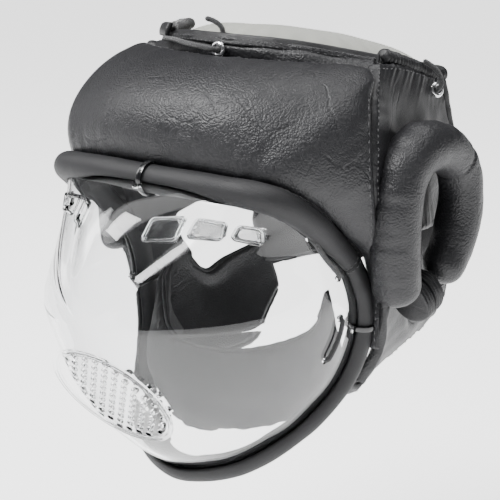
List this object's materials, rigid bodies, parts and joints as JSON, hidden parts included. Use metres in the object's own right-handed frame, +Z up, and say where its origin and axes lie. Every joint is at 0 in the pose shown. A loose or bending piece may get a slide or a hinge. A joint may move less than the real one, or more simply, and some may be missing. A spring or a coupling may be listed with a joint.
{
  "type": "boxing headgear",
  "caption": "Full-face padded boxing headgear in black leather with a clear domed face shield, foam edging, ear guards and a rear closing flap.",
  "frame": {"origin": "middle of the head cavity, level with the middle of the ears", "axes": "-Y is the way the wearer faces, +X is the wearer's left, +Z is up"},
  "size_m": [0.2558, 0.325, 0.2747],
  "materials": {
    "clear_shell": "clear, glossy moulded plastic",
    "edging_foam": "matt closed-cell foam tube",
    "tie_plastic": "glossy black nylon",
    "cord": "round black cord",
    "nickel": "bright nickel",
    "liner_cloth": "pale grey woven cloth",
    "lining": "black soft lining",
    "smooth_leather": "smooth black leather",
    "grain_leather": "black grained leather, soft sheen"
  },
  "bodies": {
    "head_guard": {"face_shield": "clear_shell", "edging_tube_lower": "edging_foam", "edging_tube_upper": "edging_foam", "tie_top": "tie_plastic", "tie_left": "tie_plastic", "tie_right": "tie_plastic", "lashing_upper": "cord", "lashing_lower": "cord", "forehead_cushion": "grain_leather", "brow_pad": "lining", "crown_band": "grain_leather", "crown_binding": "grain_leather", "crown_casing": "smooth_leather", "crown_liner": "liner_cloth", "crown_tab": "smooth_leather", "eyelet_front": "nickel", "eyelet_left": "nickel", "eyelet_right": "nickel", "drawcord_front": "cord", "drawcord_end": "cord", "drawcord_left": "cord", "drawcord_right": "cord", "side_panel_left": "smooth_leather", "side_panel_right": "smooth_leather", "jaw_panel_left": "grain_leather", "jaw_panel_right": "grain_leather", "cheek_pad_left": "lining", "cheek_pad_right": "lining", "back_panel_left": "smooth_leather", "back_panel_right": "smooth_leather", "chin_band": "grain_leather", "ear_guard_left": "grain_leather", "ear_guard_right": "grain_leather", "ear_wrap_left_1": "grain_leather", "ear_wrap_right_1": "grain_leather", "ear_wrap_left_2": "grain_leather", "ear_wrap_right_2": "grain_leather"},
    "rear_flap": {"closing_flap": "grain_leather"},
    "nape_tab": {"nape_strap": "grain_leather"}
  },
  "joints": [
    {"name": "rear_flap_hinge", "type": "hinge", "parent": "head_guard", "child": "rear_flap", "pos_m": [0.034, 0.106, 0.046], "axis": [0, 0.1146, -0.9934], "range_deg": [0, 92]},
    {"name": "nape_strap_hinge", "type": "hinge", "parent": "head_guard", "child": "nape_tab", "pos_m": [0.034, 0.1062, -0.018], "axis": [0, -0.12, -0.9928], "range_deg": [0, 92]}
  ]
}
